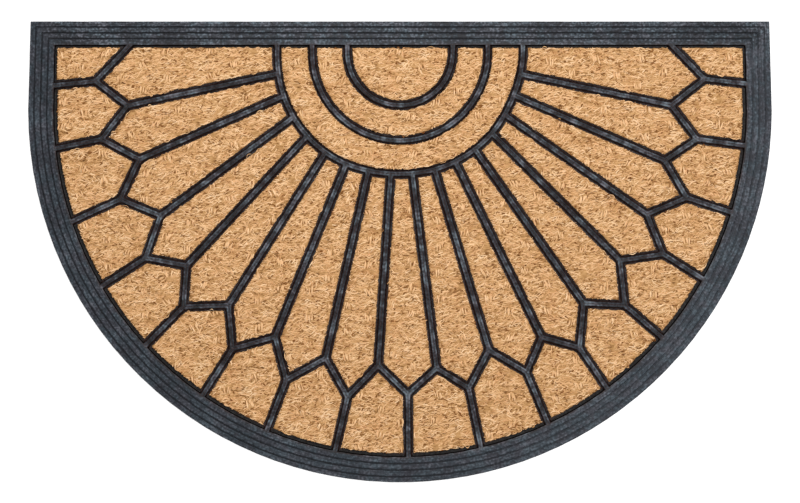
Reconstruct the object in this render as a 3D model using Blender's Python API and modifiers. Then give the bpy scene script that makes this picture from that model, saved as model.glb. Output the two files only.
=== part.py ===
# Half-round doormat: a moulded rubber tray with a stepped rim and a fan of raised ribs,
# and a panel of woven coir laid in each pocket between the ribs.
# Metres, +Z up. The origin is under the middle of the mat, on the floor.
# The straight edge is at +Y and the round edge at -Y.
# Angles are in degrees from straight down (-Y) and grow towards +X.

import math
from collections import namedtuple

import bmesh
import bpy
from mathutils import Matrix, Vector

# Driving sizes of the outline
WIDTH = 0.750
DEPTH = 0.465
ARC_RADIUS = WIDTH / 2
CORNER_DRAW_IN = 0.0025  # the straight ends of the sides lean in by this much at the corners
ARC_STEPS = 60

# The rim climbs inwards in four sloping bands, with a step and a fine groove between two bands
RIM_WIDTH = 0.025
STRAIGHT_RIM_WIDTH = 0.0238  # it is a little narrower along the straight edge
RIM_EDGE_HEIGHT = 0.0026
RIM_INNER_HEIGHT = 0.0078
BAND_STARTS = (0.0, 0.0058, 0.0121, 0.0182)  # in from the outer edge
STEP_RISE = 0.0007
GROOVE_FLOOR = 0.0005
GROOVE_SIDE = 0.0003
GROOVE_DEPTH = 0.0008

# Heights above the floor
POCKET_FLOOR = 0.0025
RIB_TOP = 0.0080
COIR_TOP = 0.0090
SEAT_GAP = 0.0003

# Distances from the middle line of a rib, and from the top of the wall round the field
RIB_HALF_TOP = 0.0022
RIB_HALF_FOOT = 0.0038
WALL_DRAFT = 0.0006
COIR_FROM_RIB = 0.0050
COIR_FROM_ROUND_WALL = 0.0050
COIR_FROM_STRAIGHT_WALL = 0.0034
COIR_EDGE_ROUND = 0.0012

# Three ribs bent round the middle of the straight edge, each with short upright ends. The outermost
# runs from ray to ray and wanders a little in and out.
RING_RADII = (0.0531, 0.0886, 0.1238)
RING_END = 0.0079
RING_STEP_ANGLE = 6.0

# The fan: a ray runs from the outermost ring to its fork, two neighbouring forks meet in a tip,
# and a short rib runs from the tip to the rim. Angles of starts and starting reaches are taken round
# the rings' centre, all others round the centre of the round edge. Reaches are in mm.
# The fan was cut by eye in the mould, a little off the middle, so no two pitches are the same.
Ray = namedtuple("Ray", "start_angle start_reach fork_angle fork_reach")
Prong = namedtuple("Prong", "tip_angle tip_reach rim_angle")
RAYS = (
    Ray(-80.2, 124.3, -91.0, 274.7),
    Ray(-69.5, 125.0, -79.4, 267.3),
    Ray(-58.8, 125.5, -66.3, 263.6),
    Ray(-48.0, 125.7, -54.0, 265.9),
    Ray(-36.8, 125.5, -41.3, 261.5),
    Ray(-25.8, 124.5, -28.9, 260.5),
    Ray(-15.0, 123.1, -16.7, 260.4),
    Ray(-4.4, 122.3, -4.9, 257.5),
    Ray(5.8, 122.3, 8.1, 262.2),
    Ray(16.5, 122.8, 20.4, 257.4),
    Ray(26.9, 123.2, 32.0, 269.2),
    Ray(37.7, 123.3, 43.6, 268.2),
    Ray(48.8, 123.2, 55.7, 268.3),
    Ray(59.3, 122.5, 67.2, 269.8),
    Ray(69.5, 122.3, 79.3, 271.5),
    Ray(79.8, 123.1, 91.1, 273.3),
)
PRONGS = (
    Prong(-95.5, 308.1, -94.1),
    Prong(-84.5, 302.0, -83.7),
    Prong(-72.4, 295.6, -71.3),
    Prong(-59.9, 296.4, -59.5),
    Prong(-47.8, 294.3, -47.3),
    Prong(-35.1, 293.6, -34.7),
    Prong(-22.9, 294.5, -22.6),
    Prong(-10.4, 293.4, -10.8),
    Prong(1.6, 285.9, 1.4),
    Prong(13.9, 288.1, 13.5),
    Prong(25.8, 292.9, 25.3),
    Prong(37.1, 299.7, 36.7),
    Prong(49.1, 299.8, 49.1),
    Prong(61.4, 302.0, 60.9),
    Prong(73.1, 301.9, 72.9),
    Prong(84.5, 300.4, 84.2),
    Prong(95.9, 308.4, 94.4),
)
ZIGZAG_ENDS = (-0.2718, 0.2732)  # where the zigzag runs up to the straight edge

# Places that follow from these
TOP_Y = DEPTH / 2
ARC_CENTRE_Y = ARC_RADIUS - TOP_Y
FIELD_TOP_Y = TOP_Y - STRAIGHT_RIM_WIDTH
FIELD_RADIUS = ARC_RADIUS - RIM_WIDTH
RING_CENTRE_Y = FIELD_TOP_Y - RING_END
PETALS = len(PRONGS)
CLEARANCE = 0.004  # how far a cutter runs on past what it cuts

RUBBER = {"name": "black_rubber", "colour": (0.046, 0.050, 0.058, 1.0), "roughness": 0.6}
COIR = {"name": "coir", "colour": (0.56, 0.32, 0.15, 1.0), "roughness": 0.95}


def clear_scene():
    for obj in list(bpy.data.objects):
        bpy.data.objects.remove(obj, do_unlink=True)


def new_collection(name):
    collection = bpy.data.collections.new(name)
    bpy.context.scene.collection.children.link(collection)
    return collection


def make_material(look):
    material = bpy.data.materials.new(look["name"])
    material.use_nodes = True
    shader = material.node_tree.nodes["Principled BSDF"]
    shader.inputs["Base Color"].default_value = look["colour"]
    shader.inputs["Roughness"].default_value = look["roughness"]
    shader.inputs["Metallic"].default_value = 0.0
    return material


def at_angle(angle, reach, centre_y=ARC_CENTRE_Y):
    turn = math.radians(angle)
    return Vector((reach * math.sin(turn), centre_y - reach * math.cos(turn)))


def arc(radius, first, last, step, centre_y=ARC_CENTRE_Y):
    """Points along an arc from one angle to another, both ends included."""
    count = max(1, round(abs(last - first) / step))
    return [at_angle(first + (last - first) * i / count, radius, centre_y) for i in range(count + 1)]


def on_side(side, y, half_width):
    """A point on the straight end of a side, -1 or 1, which leans in towards its corner."""
    share = (y - ARC_CENTRE_Y) / (TOP_Y - ARC_CENTRE_Y)
    return Vector((side * (half_width - CORNER_DRAW_IN * share), y))


def mat_outline():
    """The mat's own outline, anticlockwise from the -X corner."""
    round_edge = arc(ARC_RADIUS, -90, 90, 180 / ARC_STEPS)
    return [on_side(-1, TOP_Y, ARC_RADIUS), *round_edge, on_side(1, TOP_Y, ARC_RADIUS)]


def ring_stretch(number):
    """The outermost ring's stretch across the head of a petal, left to right."""
    stops = [(-90.0, RING_RADII[-1]), *((ray.start_angle, ray.start_reach / 1000) for ray in RAYS), (90.0, RING_RADII[-1])]
    (first, from_reach), (last, to_reach) = stops[number - 1 : number + 1]
    count = max(1, round((last - first) / RING_STEP_ANGLE))
    return [
        at_angle(first + (last - first) * i / count, from_reach + (to_reach - from_reach) * i / count, RING_CENTRE_Y)
        for i in range(count + 1)
    ]


def whole_ring(radius):
    """A ring with its short upright ends, from the straight edge at -X round to the one at +X."""
    if radius == RING_RADII[-1]:
        line = [point for number in range(1, PETALS + 1) for point in ring_stretch(number)[:-1]]
        line.append(ring_stretch(PETALS)[-1])
    else:
        line = arc(radius, -90, 90, RING_STEP_ANGLE, RING_CENTRE_Y)
    return [Vector((-radius, FIELD_TOP_Y)), *line, Vector((radius, FIELD_TOP_Y))]


def fork(number):
    """Where a ray forks. The first and last of all are the zigzag's ends on the straight edge."""
    if number in (0, PETALS):
        return Vector((ZIGZAG_ENDS[0 if number == 0 else 1], FIELD_TOP_Y))
    ray = RAYS[number - 1]
    return at_angle(ray.fork_angle, ray.fork_reach / 1000)


def tip(number):
    prong = PRONGS[number - 1]
    return at_angle(prong.tip_angle, prong.tip_reach / 1000)


def rim_end(number):
    """Where the short rib from a petal's tip meets the rim."""
    angle = PRONGS[number - 1].rim_angle
    if abs(angle) <= 90:
        return at_angle(angle, FIELD_RADIUS)
    rise = FIELD_RADIUS * math.tan(math.radians(abs(angle) - 90))
    return on_side(math.copysign(1, angle), ARC_CENTRE_Y + rise, FIELD_RADIUS)


def rim_stretch(first, last):
    """The foot of the rim from one petal's short rib to the next petal's."""
    angles = [PRONGS[number - 1].rim_angle for number in (first, last)]
    points = arc(FIELD_RADIUS, max(angles[0], -90), min(angles[1], 90), 180 / ARC_STEPS)
    if angles[0] < -90:
        points.insert(0, rim_end(first))
    if angles[1] > 90:
        points.append(rim_end(last))
    return points


def rib(*points):
    """Corners whose next edge lies along the middle of a rib."""
    return [(point, "rib") for point in points]


def wall(*points, kind="straight"):
    """Corners whose next edge lies along the wall at the foot of the rim."""
    return [(point, kind) for point in points]


def half_disc_outline(radius):
    line = whole_ring(radius)
    return rib(*line[:-1]) + wall(line[-1])


def band_outline(inner_radius, outer_radius):
    far = whole_ring(outer_radius)
    near = whole_ring(inner_radius)[::-1]
    return rib(*far[:-1]) + wall(far[-1]) + rib(*near[:-1]) + wall(near[-1])


def petal_outline(number):
    """A long petal: its two prongs, a ray on each side and a stretch of the outermost ring."""
    ring = RING_RADII[-1]
    outline = rib(fork(number - 1), tip(number))
    if number == PETALS:
        outline += wall(fork(number)) + rib(Vector((ring, FIELD_TOP_Y)))
    else:
        outline += rib(fork(number))
    outline += rib(*ring_stretch(number)[::-1])
    if number == 1:
        outline += wall(Vector((-ring, FIELD_TOP_Y)))
    return outline


def edge_outline(number):
    """A cell beside the rim, between the short ribs of petals number-1 and number."""
    corner = on_side(-1 if number == 1 else 1, FIELD_TOP_Y, FIELD_RADIUS)
    if number == 1:
        return wall(fork(0), corner) + rib(rim_end(1), tip(1))
    if number == PETALS + 1:
        return rib(fork(PETALS), tip(PETALS)) + wall(rim_end(PETALS), corner)
    stretch = rim_stretch(number - 1, number)
    near_rim = wall(*stretch[:-1], kind="round")
    return near_rim + rib(stretch[-1], tip(number), fork(number - 1), tip(number - 1))


def cell_outlines():
    """The outline of each pocket by name, anticlockwise along rib middles and the foot of the rim."""
    inner, middle, outer = RING_RADII
    cells = {
        "centre": half_disc_outline(inner),
        "band_inner": band_outline(inner, middle),
        "band_outer": band_outline(middle, outer),
    }
    for number in range(1, PETALS + 1):
        cells[f"petal_{number:02d}"] = petal_outline(number)
    for number in range(1, PETALS + 2):
        cells[f"edge_{number:02d}"] = edge_outline(number)
    return cells


def inset(outline, from_rib, from_round_wall, from_straight_wall):
    """The outline moved inwards, by one distance from the ribs and others from the wall."""
    distances = {"rib": from_rib, "round": from_round_wall, "straight": from_straight_wall}
    edges = []
    for (start, kind), (end, _) in zip(outline, outline[1:] + outline[:1]):
        along = (end - start).normalized()
        edges.append((start + Vector((-along.y, along.x)) * distances[kind], along))
    corners = []
    for (before, along_before), (here, along) in zip(edges[-1:] + edges[:-1], edges):
        turn = along_before.cross(along)
        corners.append(before + along_before * ((here - before).cross(along) / turn))
    return corners


def flat_curve(name, outline):
    """A closed flat curve with straight stretches between the outline's points."""
    data = bpy.data.curves.new(name, "CURVE")
    data.dimensions = "2D"
    spline = data.splines.new("POLY")
    spline.points.add(len(outline) - 1)
    for point, place in zip(spline.points, outline):
        point.co = (place[0], place[1], 0.0, 1.0)
    spline.use_cyclic_u = True
    return data


def mesh_from_curve(name, curve, collection):
    """The solid that a curve's settings make, as a closed mesh object."""
    holder = bpy.data.objects.new(f"{name}_curve", curve)
    bpy.context.scene.collection.objects.link(holder)
    solid = holder.evaluated_get(bpy.context.evaluated_depsgraph_get())
    mesh = bpy.data.meshes.new_from_object(solid)
    bpy.data.objects.remove(holder)
    shape = bmesh.new()
    shape.from_mesh(mesh)
    bmesh.ops.remove_doubles(shape, verts=shape.verts, dist=1e-6)
    bmesh.ops.recalc_face_normals(shape, faces=shape.faces)
    return finish_mesh(name, shape, mesh, collection)


def finish_mesh(name, shape, mesh, collection):
    shape.to_mesh(mesh)
    shape.free()
    obj = bpy.data.objects.new(name, mesh)
    collection.objects.link(obj)
    return obj


def rim_section():
    """What is cut away over the rim: distance in from the outer edge, and height."""
    band_count = len(BAND_STARTS)
    rise = (RIM_INNER_HEIGHT - RIM_EDGE_HEIGHT - STEP_RISE * (band_count - 1)) / band_count
    height = RIM_EDGE_HEIGHT
    section = [(-CLEARANCE, height)]
    for start, end in zip(BAND_STARTS, BAND_STARTS[1:]):
        section.append((start, height))
        height += rise
        groove_start = end - 2 * GROOVE_SIDE - GROOVE_FLOOR
        section.append((groove_start, height))
        section.append((groove_start + GROOVE_SIDE, height - GROOVE_DEPTH))
        section.append((end - GROOVE_SIDE, height - GROOVE_DEPTH))
        height += STEP_RISE
    slope = rise / (RIM_WIDTH - BAND_STARTS[-1])
    past_top = 2 * (RIB_TOP - RIM_INNER_HEIGHT) / slope
    section.append((BAND_STARTS[-1], height))
    section.append((RIM_WIDTH + past_top, RIM_INNER_HEIGHT + slope * past_top))
    section.append((-CLEARANCE, RIB_TOP + CLEARANCE))
    return section


def rim_cutter(collection):
    """The rim's section swept round the mat, with mitred corners."""
    section = bpy.data.objects.new("rim_section", flat_curve("rim_section", rim_section()))
    bpy.context.scene.collection.objects.link(section)
    path = flat_curve("rim_cutter", mat_outline())
    path.fill_mode = "NONE"
    path.bevel_mode = "OBJECT"
    path.bevel_object = section
    mesh_from_curve("rim_cutter", path, collection)
    bpy.data.objects.remove(section)


def pocket_cutter(name, outline, collection):
    """A pocket's hollow, lofted between its floor outline and a wider one above the ribs."""
    over = CLEARANCE / (RIB_TOP - POCKET_FLOOR)
    rib_above = RIB_HALF_TOP - (RIB_HALF_FOOT - RIB_HALF_TOP) * over
    wall_above = -WALL_DRAFT * over
    levels = (
        (POCKET_FLOOR, inset(outline, RIB_HALF_FOOT, WALL_DRAFT, WALL_DRAFT)),
        (RIB_TOP + CLEARANCE, inset(outline, rib_above, wall_above, wall_above)),
    )
    shape = bmesh.new()
    low, high = [[shape.verts.new((p.x, p.y, z)) for p in corners] for z, corners in levels]
    shape.faces.new(low[::-1])
    shape.faces.new(high)
    for i in range(len(outline)):
        shape.faces.new((low[i - 1], low[i], high[i], high[i - 1]))
    finish_mesh(name, shape, bpy.data.meshes.new(name), collection)


def rubber_tray(cells, parts, cutters, material):
    """The moulded tray: a slab of the mat's outline with the rim's steps and the pockets cut away."""
    slab = flat_curve("rubber_tray", mat_outline())
    slab.fill_mode = "BOTH"
    slab.extrude = RIB_TOP / 2
    tray = mesh_from_curve("rubber_tray", slab, parts)
    tray.data.transform(Matrix.Translation((0, 0, RIB_TOP / 2)))
    tray.data.materials.append(material)
    rim_cutter(cutters)
    for name, outline in cells.items():
        pocket_cutter(f"pocket_{name}", outline, cutters)
    for cutter in cutters.objects:
        cutter.hide_render = True
        cutter.display_type = "WIRE"
    cut = tray.modifiers.new("rim_and_pockets", "BOOLEAN")
    cut.operation = "DIFFERENCE"
    cut.solver = "EXACT"
    cut.operand_type = "COLLECTION"
    cut.collection = cutters


def coir_panel(name, outline, parts, material):
    """A coir panel: a thick flat cut of matting, its upper edge worn round."""
    bottom = POCKET_FLOOR + SEAT_GAP
    cut = flat_curve(name, inset(outline, COIR_FROM_RIB, COIR_FROM_ROUND_WALL, COIR_FROM_STRAIGHT_WALL))
    cut.fill_mode = "BOTH"
    cut.extrude = (COIR_TOP - bottom) / 2
    panel = mesh_from_curve(name, cut, parts)
    panel.data.transform(Matrix.Translation((0, 0, (COIR_TOP + bottom) / 2)))
    panel.data.materials.append(material)
    weights = panel.data.attributes.new("bevel_weight_edge", "FLOAT", "EDGE")
    for edge in upper_border(panel.data):
        weights.data[edge].value = 1.0
    worn = panel.modifiers.new("worn_edge", "BEVEL")
    worn.limit_method = "WEIGHT"
    worn.width = COIR_EDGE_ROUND
    worn.segments = 2


def upper_border(mesh):
    """The edges between a panel's top and its sides."""
    shape = bmesh.new()
    shape.from_mesh(mesh)
    border = [
        edge.index
        for edge in shape.edges
        if sorted(round(abs(face.normal.z)) for face in edge.link_faces) == [0, 1]
        and min(vert.co.z for vert in edge.verts) > RIB_TOP
    ]
    shape.free()
    return border


def main():
    clear_scene()
    parts = new_collection("half_round_doormat")
    cutters = new_collection("cutters")
    rubber = make_material(RUBBER)
    coir = make_material(COIR)
    cells = cell_outlines()
    rubber_tray(cells, parts, cutters, rubber)
    for name, outline in cells.items():
        coir_panel(f"coir_{name}", outline, parts, coir)


main()
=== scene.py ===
# %% [markdown]
# # A half-round doormat of rubber and coir
# The real mat is one black rubber moulding, a tray with a stepped rim and a fan of raised ribs. Each
# hollow between the ribs holds a panel cut from thick woven coir, the stiff golden fibre of coconut
# husks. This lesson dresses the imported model: it loads the plain solids, then builds the rubber, the
# coir and its loose fibres over them, in metres and in the same frame.

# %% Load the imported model
import math
from collections import namedtuple

import bmesh
import bpy
import numpy as np
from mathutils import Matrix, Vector, geometry, noise


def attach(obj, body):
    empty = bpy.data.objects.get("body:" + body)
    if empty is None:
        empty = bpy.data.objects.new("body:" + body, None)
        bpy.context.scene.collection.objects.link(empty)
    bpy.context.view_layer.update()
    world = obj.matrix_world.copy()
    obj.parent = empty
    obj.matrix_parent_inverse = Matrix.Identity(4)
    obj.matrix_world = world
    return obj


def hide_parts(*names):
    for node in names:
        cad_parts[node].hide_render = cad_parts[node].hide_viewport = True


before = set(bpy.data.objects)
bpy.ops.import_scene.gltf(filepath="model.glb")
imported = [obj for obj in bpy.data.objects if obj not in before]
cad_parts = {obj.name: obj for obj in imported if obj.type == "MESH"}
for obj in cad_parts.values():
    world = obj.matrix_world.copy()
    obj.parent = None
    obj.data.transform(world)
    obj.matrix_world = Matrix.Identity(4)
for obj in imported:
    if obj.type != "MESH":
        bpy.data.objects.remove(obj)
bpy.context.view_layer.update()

MM = 0.001
print("solids in the packed model:", len(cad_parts))

# %% [markdown]
# ## The camera
# The photograph looks straight down with no visible perspective, so the camera hangs high above the
# middle of the mat with a long lens. An orthographic camera would also do, but a long lens keeps the
# slight look into the hollows that a real camera has. One pixel of the picture is 1.008 mm of mat.

# %% Hang the camera over the mat
PICTURE_WIDTH = 0.80645
CAMERA_HEIGHT = 4.0
SENSOR_WIDTH = 36.0
PICTURE_SHIFT = 0.0004
MIDDLE_OF_MAT = 0.004
camera_data = bpy.data.cameras.new("overhead_camera")
camera_data.sensor_width = SENSOR_WIDTH
camera_data.lens = SENSOR_WIDTH * CAMERA_HEIGHT / PICTURE_WIDTH
camera = bpy.data.objects.new("overhead_camera", camera_data)
camera.location = (0.0, PICTURE_SHIFT, CAMERA_HEIGHT + MIDDLE_OF_MAT)
bpy.context.scene.collection.objects.link(camera)
bpy.context.scene.camera = camera
print("lens in mm:", round(camera_data.lens, 1))

# %% [markdown]
# ## The layout of the mould
# All ribs follow one drawing: three rings round the middle of the straight edge, sixteen rays that
# start on the outermost ring and fork, and seventeen short ribs from the tips to the rim. Two small
# tables hold the unequal angles of the fan. Angles are in degrees from straight down and grow to the
# right. A ray's start is measured round the rings' centre, all else round the centre of the round
# edge, and reaches are in mm.

# %% The sizes and tables of the mould
WIDTH = 0.750
DEPTH = 0.465
ARC_RADIUS = WIDTH / 2
CORNER_DRAW_IN = 0.0025
RIM_WIDTH = 0.025
STRAIGHT_RIM_WIDTH = 0.0238
RING_RADII = (0.0531, 0.0886, 0.1238)
RING_END = 0.0079
TOP_Y = DEPTH / 2
ARC_CENTRE_Y = ARC_RADIUS - TOP_Y
FIELD_TOP_Y = TOP_Y - STRAIGHT_RIM_WIDTH
FIELD_RADIUS = ARC_RADIUS - RIM_WIDTH
RING_CENTRE_Y = FIELD_TOP_Y - RING_END

Ray = namedtuple("Ray", "start_angle start_reach fork_angle fork_reach")
Prong = namedtuple("Prong", "tip_angle tip_reach rim_angle")
RAYS = (
    Ray(-80.2, 124.3, -91.0, 274.7),
    Ray(-69.5, 125.0, -79.4, 267.3),
    Ray(-58.8, 125.5, -66.3, 263.6),
    Ray(-48.0, 125.7, -54.0, 265.9),
    Ray(-36.8, 125.5, -41.3, 261.5),
    Ray(-25.8, 124.5, -28.9, 260.5),
    Ray(-15.0, 123.1, -16.7, 260.4),
    Ray(-4.4, 122.3, -4.9, 257.5),
    Ray(5.8, 122.3, 8.1, 262.2),
    Ray(16.5, 122.8, 20.4, 257.4),
    Ray(26.9, 123.2, 32.0, 269.2),
    Ray(37.7, 123.3, 43.6, 268.2),
    Ray(48.8, 123.2, 55.7, 268.3),
    Ray(59.3, 122.5, 67.2, 269.8),
    Ray(69.5, 122.3, 79.3, 271.5),
    Ray(79.8, 123.1, 91.1, 273.3),
)
PRONGS = (
    Prong(-95.5, 308.1, -94.1),
    Prong(-84.5, 302.0, -83.7),
    Prong(-72.4, 295.6, -71.3),
    Prong(-59.9, 296.4, -59.5),
    Prong(-47.8, 294.3, -47.3),
    Prong(-35.1, 293.6, -34.7),
    Prong(-22.9, 294.5, -22.6),
    Prong(-10.4, 293.4, -10.8),
    Prong(1.6, 285.9, 1.4),
    Prong(13.9, 288.1, 13.5),
    Prong(25.8, 292.9, 25.3),
    Prong(37.1, 299.7, 36.7),
    Prong(49.1, 299.8, 49.1),
    Prong(61.4, 302.0, 60.9),
    Prong(73.1, 301.9, 72.9),
    Prong(84.5, 300.4, 84.2),
    Prong(95.9, 308.4, 94.4),
)
ZIGZAG_ENDS = (-0.2718, 0.2732)
PETALS = len(PRONGS)
print("rays:", len(RAYS), "petals:", PETALS)

# %% Points of the layout
ARC_STEP = 3.0
SMALL_RING_STEP = 4.0


def at_angle(angle, reach, centre_y=ARC_CENTRE_Y):
    """The point at this angle and reach round a centre on the mat's middle line."""
    turn = math.radians(angle)
    return (reach * math.sin(turn), centre_y - reach * math.cos(turn))


def arc(radius, first, last, step=ARC_STEP, centre_y=ARC_CENTRE_Y):
    """Points along an arc, both ends included."""
    count = max(1, round(abs(last - first) / step))
    return [at_angle(first + (last - first) * i / count, radius, centre_y) for i in range(count + 1)]


def on_side(side, y, half_width):
    """A point on the upright side above the round edge, which leans in a little towards the corner."""
    share = (y - ARC_CENTRE_Y) / (TOP_Y - ARC_CENTRE_Y)
    return (side * (half_width - CORNER_DRAW_IN * share), y)


def fork(number):
    """Where a ray forks; the first and the last are the zigzag's ends on the straight wall."""
    if number in (0, PETALS):
        return (ZIGZAG_ENDS[0 if number == 0 else 1], FIELD_TOP_Y)
    ray = RAYS[number - 1]
    return at_angle(ray.fork_angle, ray.fork_reach * MM)


def tip(number):
    """Where two prongs meet and the short rib to the rim begins."""
    prong = PRONGS[number - 1]
    return at_angle(prong.tip_angle, prong.tip_reach * MM)


def rim_end(number):
    """Where a short rib meets the rim's inner wall."""
    angle = PRONGS[number - 1].rim_angle
    if abs(angle) <= 90:
        return at_angle(angle, FIELD_RADIUS)
    rise = FIELD_RADIUS * math.tan(math.radians(abs(angle) - 90))
    return on_side(math.copysign(1, angle), ARC_CENTRE_Y + rise, FIELD_RADIUS)


print("first fork in mm:", [round(x / MM, 1) for x in fork(1)])

# %% [markdown]
# Neighbouring hollows share a rib, so both must step along it at the same points: then the two halves
# of the rib weld into one skin. The outermost ring is therefore drawn in stretches from ray to ray,
# which also lets it wander a little, as it does on the real mat.

# %% Lines that hollows share
def ring_stretch(number):
    """The outermost ring's stretch across the head of a petal, left to right."""
    stops = [(-90.0, RING_RADII[-1])]
    stops += [(ray.start_angle, ray.start_reach * MM) for ray in RAYS]
    stops.append((90.0, RING_RADII[-1]))
    (first, from_reach), (last, to_reach) = stops[number - 1:number + 1]
    count = max(1, round((last - first) / ARC_STEP))
    points = []
    for i in range(count + 1):
        share = i / count
        reach = from_reach + (to_reach - from_reach) * share
        points.append(at_angle(first + (last - first) * share, reach, RING_CENTRE_Y))
    return points


def whole_ring(radius):
    """A ring from end to end, with its two ends on the straight wall."""
    if radius == RING_RADII[-1]:
        line = [point for number in range(1, PETALS + 1) for point in ring_stretch(number)[:-1]]
        line.append(ring_stretch(PETALS)[-1])
    else:
        line = arc(radius, -90, 90, SMALL_RING_STEP, RING_CENTRE_Y)
    return [(-radius, FIELD_TOP_Y), *line, (radius, FIELD_TOP_Y)]


def rim_stretch(first, last):
    """The rim's inner wall between the ends of two short ribs."""
    angles = [PRONGS[number - 1].rim_angle for number in (first, last)]
    points = arc(FIELD_RADIUS, max(angles[0], -90), min(angles[1], 90))
    if angles[0] < -90:
        points.insert(0, rim_end(first))
    if angles[1] > 90:
        points.append(rim_end(last))
    return points


print("points on the outermost ring:", len(whole_ring(RING_RADII[-1])))

# %% [markdown]
# An outline is a list of corners, and each corner tells what its next edge lies on: the middle of a rib,
# or the rim's straight or round wall. With this the ribs and the wall can be shaped differently later.

# %% Outlines of the 38 hollows
def rib(*points):
    """Corners whose next edge lies along the middle of a rib."""
    return [(point, "rib") for point in points]


def wall(*points, kind="straight"):
    """Corners whose next edge lies along the rim's inner wall."""
    return [(point, kind) for point in points]


def petal_outline(number):
    ring = RING_RADII[-1]
    outline = rib(fork(number - 1), tip(number))
    if number == PETALS:
        outline += wall(fork(number)) + rib((ring, FIELD_TOP_Y))
    else:
        outline += rib(fork(number))
    outline += rib(*ring_stretch(number)[::-1])
    if number == 1:
        outline += wall((-ring, FIELD_TOP_Y))
    return outline


def edge_outline(number):
    corner = on_side(-1 if number == 1 else 1, FIELD_TOP_Y, FIELD_RADIUS)
    if number == 1:
        return wall(fork(0), corner) + rib(rim_end(1), tip(1))
    if number == PETALS + 1:
        return rib(fork(PETALS), tip(PETALS)) + wall(rim_end(PETALS), corner)
    stretch = rim_stretch(number - 1, number)
    near_rim = wall(*stretch[:-1], kind="round")
    return near_rim + rib(stretch[-1], tip(number), fork(number - 1), tip(number - 1))


def band_outline(inner_radius, outer_radius):
    far = whole_ring(outer_radius)
    near = whole_ring(inner_radius)[::-1]
    return rib(*far[:-1]) + wall(far[-1]) + rib(*near[:-1]) + wall(near[-1])


middle_line = whole_ring(RING_RADII[0])
hollows = {"centre": rib(*middle_line[:-1]) + wall(middle_line[-1])}
hollows["band_inner"] = band_outline(*RING_RADII[:2])
hollows["band_outer"] = band_outline(*RING_RADII[1:])
for number in range(1, PETALS + 1):
    hollows[f"petal_{number:02d}"] = petal_outline(number)
for number in range(1, PETALS + 2):
    hollows[f"edge_{number:02d}"] = edge_outline(number)
print("hollows:", len(hollows))

# %% [markdown]
# ## Stepping along and moving inwards
# Two helpers do most of the shaping. One cuts every edge of an outline into short steps. The other
# moves an outline inwards, by one distance from the ribs and another from the rim's wall, and keeps
# sharp corners sharp. Lofting between such outlines gives clean Y-joints where ribs meet, which a
# union of separate bars would not.

# %% Helpers for outlines
STRAIGHT_TURN = 1e-3
SHARP_TURN = 0.3


def stepped(outline, step):
    """The outline's points and the kind of each edge, with no edge longer than the step."""
    points, kinds = [], []
    for (start, kind), (end, _) in zip(outline, outline[1:] + outline[:1]):
        start, end = np.array(start), np.array(end)
        count = max(1, math.ceil(np.linalg.norm(end - start) / step - 1e-6))
        points += [start + (end - start) * i / count for i in range(count)]
        kinds += [kind] * count
    return np.array(points), np.array(kinds)


def normals_of(points):
    """The inward normal of each edge of an anticlockwise outline."""
    along = np.roll(points, -1, axis=0) - points
    along /= np.linalg.norm(along, axis=1, keepdims=True)
    return np.stack((-along[:, 1], along[:, 0]), axis=1)


def moved_in(points, distances):
    """The outline with each edge moved inwards by its own distance."""
    here = normals_of(points)
    before = np.roll(here, 1, axis=0)
    far_here, far_before = distances, np.roll(distances, 1)
    turn = before[:, 0] * here[:, 1] - before[:, 1] * here[:, 0]
    bends = np.abs(turn) > STRAIGHT_TURN
    safe = np.where(bends, turn, 1.0)
    across = (far_before * here[:, 1] - far_here * before[:, 1]) / safe
    up = (far_here * before[:, 0] - far_before * here[:, 0]) / safe
    straight = here * ((far_here + far_before) / 2)[:, None]
    return points + np.where(bends[:, None], np.stack((across, up), axis=1), straight)


def with_soft_corners(points, depth):
    """The outline with each sharp corner drawn back by the depth, as a mould's cutter leaves it."""
    here = normals_of(points)
    before = np.roll(here, 1, axis=0)
    sharp = before[:, 0] * here[:, 1] - before[:, 1] * here[:, 0] > SHARP_TURN
    towards = (np.roll(points, 1, axis=0) + np.roll(points, -1, axis=0)) / 2 - points
    towards /= np.maximum(np.linalg.norm(towards, axis=1, keepdims=True), 1e-9)
    return points + np.where(sharp[:, None], towards * depth, 0.0)


def area_of(points):
    """The area inside an outline, above zero when the points run anticlockwise."""
    after = np.roll(points, -1, axis=0)
    return float((points[:, 0] * after[:, 1] - points[:, 1] * after[:, 0]).sum() / 2)


centre_points, _ = stepped(hollows["centre"], 0.006)
print("the centre hollow's area in square cm:", round(area_of(centre_points) * 1e4, 1))

# %% [markdown]
# ## The rubber tray
# On the real mat each rib has two faint beads with a shallow groove between them, and dark steep flanks
# down to the hollow. The table below walks from the middle of a rib to the floor of the hollow. The
# last column is dust for the colour later, and painted shade too: it is low in the groove between the
# beads and on the flanks, which paints shade there, and below zero beside the rim's wall, where it
# paints deep shade on the channel floor. The round wall's top is half a millimetre wider than the
# drawing, as on the real mat, which leaves a narrower black channel.

# %% The skin of the hollows and ribs
Row = namedtuple("Row", "from_rib from_wall height worn")
RIB_SECTION = (
    Row(0.0, 0.0, 7.35, 0.40),
    Row(0.35, 0.0, 7.45, 0.45),
    Row(0.85, 0.0, 7.90, 0.85),
    Row(1.3, 0.0, 8.05, 1.00),
    Row(1.75, 0.0, 7.95, 0.95),
    Row(2.1, 0.0, 7.65, 0.60),
    Row(2.35, 0.15, 7.10, 0.20),
    Row(2.6, 0.3, 6.20, 0.12),
    Row(2.9, 0.45, 4.90, 0.08),
    Row(3.3, 0.6, 3.30, 0.05),
    Row(3.8, 1.0, 2.60, 0.18),
    Row(4.6, 1.8, 2.50, 0.16),
)
WALL_TOP = 7.80
RIB_STEP = 0.0045
CORNER_SOFTNESS = 0.7 * MM
ROUND_WALL_LEDGE = 0.5
WELD_DISTANCE = 2e-6
PAINTED_SHADE_MARK = -1.0

skin = bmesh.new()
dust_and_shade_layer = skin.verts.layers.float.new("worn")
smear_layer = skin.verts.layers.float.new("smeared")
run_layer = skin.verts.layers.float_vector.new("rim_run")


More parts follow.
